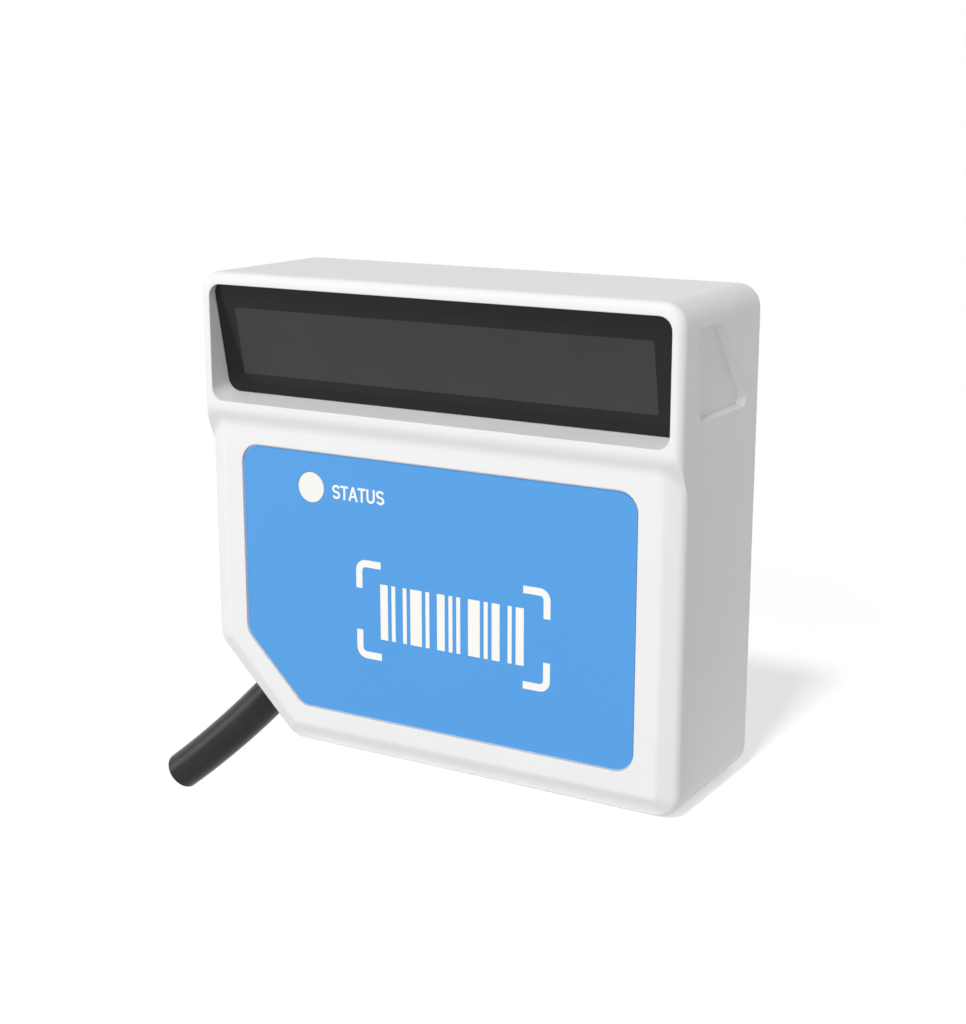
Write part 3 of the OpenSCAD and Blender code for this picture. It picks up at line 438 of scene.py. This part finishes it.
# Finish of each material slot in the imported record
FINISHES = {
    "housing_white": white_moulding,
    "window_smoke": window_plate,
    "window_black": black_mask,
    "gasket_black": rubber,
    "label_blue": label_film,
    "light_pipe": light_pipe,
    "steel": steel,
    "brass": brass,
    "board_green": circuit_board,
    "chip_black": lambda: plastic("chip_epoxy", "#232427", roughness=0.55),
    "can_metal": can_metal,
    "ceramic_tan": lambda: plastic("capacitor_ceramic", "#b59f7d", roughness=0.45),
    "led_cream": lambda: plastic("led_phosphor", "#f2ecc9", roughness=0.35, subsurface_weight=0.1),
    "connector_ivory": lambda: plastic("connector_nylon", "#efe9da", roughness=0.4),
    "core_red": lambda: plastic("core_insulation", "#b03a2e", roughness=0.35),
    "cable_black": cable_jacket,
    "tie_natural": lambda: plastic("natural_nylon", "#e6e6e0", roughness=0.4, subsurface_weight=0.1),
    "engine_black": lambda: plastic("engine_moulding", "#2a2b2d", roughness=0.5),
    "lens_clear": lens_glass,
    "sensor_die": lambda: plastic("sensor_die", "#3a3f55", roughness=0.15, coat_weight=0.5),
    "flex_amber": lambda: plastic("flex_polyimide", "#c78b3c", roughness=0.3),
}
finishes = {slot: make().material for slot, make in FINISHES.items()}
finishes["ink"] = ink().material


def dress_nodes():
    """Gives each piece of the frame the finish of its material slot."""
    for node in nodes.values():
        slot = node.data.materials[0].name
        node.data.materials.clear()
        node.data.materials.append(finishes[slot])


def smoothing_group():
    """Node group that welds a mesh and shades it smooth across edges flatter than SMOOTH_ANGLE."""
    tree = bpy.data.node_groups.new("smooth_moulding", "GeometryNodeTree")
    tree.interface.new_socket("Geometry", in_out="INPUT", socket_type="NodeSocketGeometry")
    tree.interface.new_socket("Geometry", in_out="OUTPUT", socket_type="NodeSocketGeometry")
    start = tree.nodes.new("NodeGroupInput")
    weld = tree.nodes.new("GeometryNodeMergeByDistance")
    weld.inputs["Distance"].default_value = WELD_DISTANCE
    faces = tree.nodes.new("GeometryNodeSetShadeSmooth")
    edges = tree.nodes.new("GeometryNodeSetShadeSmooth")
    edges.domain = "EDGE"
    angle = tree.nodes.new("GeometryNodeInputMeshEdgeAngle")
    flat = tree.nodes.new("FunctionNodeCompare")
    flat.operation = "LESS_THAN"
    flat.inputs["B"].default_value = SMOOTH_ANGLE
    end = tree.nodes.new("NodeGroupOutput")
    for output, target in (
        (start.outputs[0], weld.inputs["Geometry"]),
        (weld.outputs["Geometry"], faces.inputs["Geometry"]),
        (faces.outputs["Geometry"], edges.inputs["Geometry"]),
        (angle.outputs["Unsigned Angle"], flat.inputs["A"]),
        (flat.outputs["Result"], edges.inputs["Shade Smooth"]),
        (edges.outputs["Geometry"], end.inputs[0]),
    ):
        tree.links.new(output, target)
    return tree


def smooth(node, group):
    """Smooth shading for a faceted piece, with its flat faces kept flat."""
    if node.data.has_custom_normals:
        node.data.attributes.remove(node.data.attributes["custom_normal"])
    node.modifiers.new("smooth_moulding", "NODES").node_group = group
    weighted = node.modifiers.new("flat_faces", "WEIGHTED_NORMAL")
    weighted.keep_sharp = True


def add_piece(name, data, material):
    """A new piece that rides on the reader."""
    piece = bpy.data.objects.new(name, data)
    bpy.context.scene.collection.objects.link(piece)
    data.materials.append(material)
    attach(piece, "root")
    return piece


def add_print(name, outlines):
    """Thin ink on the label. Each outline is a list of X and Z points.

    The points run counter-clockwise as seen from the front.
    """
    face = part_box("front_label")[0].y
    shape = bmesh.new()
    for outline in outlines:
        near = [shape.verts.new((x, face - INK_PROUD, z)) for x, z in outline]
        far = [shape.verts.new((x, face + INK_SUNK, z)) for x, z in outline]
        shape.faces.new(near)
        shape.faces.new(reversed(far))
        for i in range(len(outline)):
            j = (i + 1) % len(outline)
            shape.faces.new((near[j], near[i], far[i], far[j]))
    mesh = bpy.data.meshes.new(name)
    shape.to_mesh(mesh)
    shape.free()
    # The record has no slot for ink, so the print gets an ink finish of its own, about as white as
    # the light pipe's
    add_piece(name, mesh, finishes["ink"])


def bracket(side, level):
    """One corner of the mark's frame: a stroke with a round outer and inner bend."""
    def arc(radius, angles):
        return [(MARK_R - radius * math.cos(a), MARK_R - radius * math.sin(a)) for a in angles]

    quarter = [math.pi / 2 * k / MARK_ARC_STEPS for k in range(MARK_ARC_STEPS + 1)]
    outer = [(0, MARK_ARM), *arc(MARK_R, quarter), (MARK_ARM, 0)]
    bend = arc(MARK_R - MARK_STROKE, reversed(quarter))
    inner = [(MARK_ARM, MARK_STROKE), *bend, (MARK_STROKE, MARK_ARM)]
    points = [(MARK_X + side * (x - MARK_W / 2), MARK_Z + level * (z - MARK_H / 2))
              for x, z in outer + inner]
    return points if side * level > 0 else points[::-1]


def barcode():
    """A row of plain bars, centred in the mark."""
    module = BARS_W / sum(bar + gap for bar, gap in BARS)
    foot, head = MARK_Z - BARS_H / 2, MARK_Z + BARS_H / 2
    outlines = []
    left = MARK_X - BARS_W / 2
    for bar, gap in BARS:
        right = left + bar * module
        outlines.append([(left, foot), (right, foot), (right, head), (left, head)])
        left += (bar + gap) * module
    return outlines


def scan_mark():
    """The mark in the middle of the label."""
    brackets = [bracket(side, level) for side in (1, -1) for level in (1, -1)]
    add_print("scan_mark", brackets + barcode())


def sweep(x, z, across, upright, start, end):
    """Points along part of an ellipse, between two angles in degrees."""
    angles = [math.radians(start + (end - start) * k / GLYPH_STEPS) for k in range(GLYPH_STEPS + 1)]
    return [(x + across * math.cos(a), z + upright * math.sin(a)) for a in angles]


def ribbon(path):
    """Outline of one pen stroke along a path."""
    left, right = [], []
    for i, point in enumerate(path):
        along = Vector(path[min(i + 1, len(path) - 1)]) - Vector(path[max(i - 1, 0)])
        aside = Vector((-along.y, along.x)).normalized() * WORD_STROKE / 2
        left.append(Vector(point) + aside)
        right.append(Vector(point) - aside)
    return right + left[::-1]


def letter_s(w):
    """Outlines of an S of that width: two bowls in one stroke."""
    across = (w - WORD_STROKE) / 2
    upright = (WORD_H - WORD_STROKE) / 4
    upper = sweep(w / 2, WORD_H - WORD_STROKE / 2 - upright, across, upright, S_TIP, 180 + S_JOIN)
    lower = sweep(w / 2, WORD_STROKE / 2 + upright, across, upright, S_JOIN, S_TIP - 180)
    return [ribbon(upper + lower)]


def letter_t(w):
    """Outlines of a T of that width."""
    left, right = (w - WORD_STROKE) / 2, (w + WORD_STROKE) / 2
    under = WORD_H - WORD_STROKE
    stem = [(left, under), (left, 0), (right, 0), (right, under)]
    return [stem + [(w, under), (w, WORD_H), (0, WORD_H), (0, under)]]


def letter_a(w):
    """Outlines of an A of that width: two legs and the bar between them."""
    foot = A_FOOT * WORD_STROKE
    run = (w - WORD_STROKE) / 2
    crotch = WORD_H * (w / 2 - foot) / run
    leg = [(0, 0), (foot, 0), (w / 2, crotch), (w / 2, WORD_H), (run, WORD_H)]
    low = A_BAR_AT * WORD_H
    high = low + A_BAR * WORD_STROKE
    inner_low, inner_high = foot + run * low / WORD_H, foot + run * high / WORD_H
    bar = [(inner_low, low), (w - inner_low, low), (w - inner_high, high), (inner_high, high)]
    return [leg, [(w - x, z) for x, z in reversed(leg)], bar]


def letter_u(w):
    """Outlines of a U of that width."""
    bend = (w - WORD_STROKE) / 2
    turn = sweep(w / 2, WORD_STROKE / 2 + bend, bend, bend, 180, 360)
    return [ribbon([(WORD_STROKE / 2, WORD_H), *turn, (w - WORD_STROKE / 2, WORD_H)])]


GLYPHS = {"S": letter_s, "T": letter_t, "A": letter_a, "U": letter_u}


def status_word():
    """The word beside the status light."""
    outlines = []
    for letter, start, end in WORD:
        for outline in GLYPHS[letter]((end - start) * MM):
            outlines.append([(WORD_LEFT + start * MM + x, WORD_FOOT + z) for x, z in outline])
    add_print("status_word", outlines)


def cable_cord():
    """The free length of cable, from inside the grommet to its cut end."""
    start = CABLE_FACE - CABLE_SEAT * CABLE_OUT
    points = [start + (along * CABLE_OUT + rise * CABLE_UP) * MM for along, rise in CABLE_ROUTE]
    curve = bpy.data.curves.new("cable_cord", "CURVE")
    curve.dimensions = "3D"
    curve.bevel_depth = CABLE_D / 2
    curve.bevel_resolution = CABLE_ROUND
    curve.use_fill_caps = True
    spline = curve.splines.new("POLY")
    spline.points.add(len(points) - 1)
    for target, point in zip(spline.points, points):
        target.co = (*point, 1)
    spline.use_smooth = True
    cord = add_piece("cable_cord", curve, finishes["cable_black"])
    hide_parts("cable")


def seen_directly(tree):
    """1 for what is seen, also mirrored or through glass, and 0 for what lights the object."""
    path = tree.nodes.new("ShaderNodeLightPath")
    seen = path.outputs["Is Camera Ray"]
    for name in ("Is Glossy Ray", "Is Transmission Ray"):
        either = tree.nodes.new("ShaderNodeMath")
        either.operation = "MAXIMUM"
        tree.links.new(seen, either.inputs[0])
        tree.links.new(path.outputs[name], either.inputs[1])
        seen = either.outputs[0]
    return seen


def make_world():
    """White where it is seen, and an even soft light on the object."""
    world = bpy.data.worlds.new("studio")
    bpy.context.scene.world = world
    world.use_nodes = True
    tree = world.node_tree
    level = tree.nodes.new("ShaderNodeMapRange")
    level.inputs["To Min"].default_value = WORLD_LEVEL
    level.inputs["To Max"].default_value = 1
    tree.links.new(seen_directly(tree), level.inputs["Value"])
    background = tree.nodes["Background"]
    background.inputs["Color"].default_value = (1, 1, 1, 1)
    tree.links.new(level.outputs["Result"], background.inputs["Strength"])


def make_lamp(name, turn, rise, level, size, mirrored=True):
    """A square softbox facing the object, turned from straight ahead to the right and raised.

    One that isn't mirrored lights the surfaces but leaves no glint on their edges.
    """
    light = bpy.data.lights.new(name, "AREA")
    light.size = size
    # At level 1 it would show a white surface that faces it as white
    light.energy = level * (math.pi * LAMP_DISTANCE) ** 2
    lamp = bpy.data.objects.new(name, light)
    bpy.context.scene.collection.objects.link(lamp)
    a, e = math.radians(turn), math.radians(rise)
    away = Vector((math.sin(a) * math.cos(e), -math.cos(a) * math.cos(e), math.sin(e)))
    lamp.location = sum(cad_box, Vector()) / 2 + away * LAMP_DISTANCE
    lamp.visible_glossy = mirrored
    lamp.rotation_mode = "QUATERNION"
    lamp.rotation_quaternion = away.to_track_quat("Z", "Y")


def floor_material():
    """Plain white floor that keeps the object's shadow and glows more far away from it."""
    material = bpy.data.materials.new("studio_floor")
    material.use_nodes = True
    tree = material.node_tree
    shader = tree.nodes["Principled BSDF"]
    shader.inputs["Base Color"].default_value = (*linear(FLOOR_COLOR), 1)
    shader.inputs["Roughness"].default_value = FLOOR_ROUGHNESS
    shader.inputs["Specular IOR Level"].default_value = FLOOR_SPECULAR
    shader.inputs["Emission Color"].default_value = (1, 1, 1, 1)
    place = tree.nodes.new("ShaderNodeNewGeometry")
    away = tree.nodes.new("ShaderNodeVectorMath")
    away.operation = "LENGTH"
    level = tree.nodes.new("ShaderNodeMapRange")
    level.inputs["From Min"].default_value = FLOOR_NEAR
    level.inputs["From Max"].default_value = FLOOR_FAR
    level.inputs["To Min"].default_value = FLOOR_GLOW
    level.inputs["To Max"].default_value = FLOOR_GLOW_FAR
    glow = tree.nodes.new("ShaderNodeMath")
    glow.operation = "MULTIPLY"
    tree.links.new(place.outputs["Position"], away.inputs[0])
    tree.links.new(away.outputs["Value"], level.inputs["Value"])
    tree.links.new(seen_directly(tree), glow.inputs[0])
    tree.links.new(level.outputs["Result"], glow.inputs[1])
    tree.links.new(glow.outputs[0], shader.inputs["Emission Strength"])
    return material


def make_floor():
    """A white table under the housing; the cable hangs past its left edge."""
    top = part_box("front_housing")[0].z
    low = (TABLE_LEFT, TABLE_FRONT, top - TABLE_THICK)
    high = (FLOOR_REACH, FLOOR_REACH, top)
    shape = bmesh.new()
    bmesh.ops.create_cube(shape, size=1)
    for v in shape.verts:
        v.co = [h if c > 0 else l for c, l, h in zip(v.co, low, high)]
    mesh = bpy.data.meshes.new("floor")
    shape.to_mesh(mesh)
    shape.free()
    mesh.materials.append(floor_material())
    floor = bpy.data.objects.new("floor", mesh)
    bpy.context.scene.collection.objects.link(floor)


def make_camera():
    """The photograph's camera."""
    data = bpy.data.cameras.new("camera")
    data.sensor_width = SENSOR_MM
    data.lens = FOCAL_PX / max(PHOTO_W, PHOTO_H) * SENSOR_MM
    data.clip_start = CAMERA_NEAR
    camera = bpy.data.objects.new("camera", data)
    camera.location = CAMERA_AT
    camera.rotation_euler = (math.radians(90) - CAMERA_DIP, 0, CAMERA_TURN)
    bpy.context.scene.collection.objects.link(camera)
    bpy.context.scene.camera = camera


dress_nodes()
smoothing = smoothing_group()
for faceted in ("front_housing", "cable_cores"):
    smooth(nodes[faceted], smoothing)
scan_mark()
status_word()
cable_cord()
make_floor()
make_world()
for lamp_name, lamp in LAMPS.items():
    make_lamp(lamp_name, **lamp)
make_camera()
bpy.context.scene.view_settings.view_transform = "Standard"
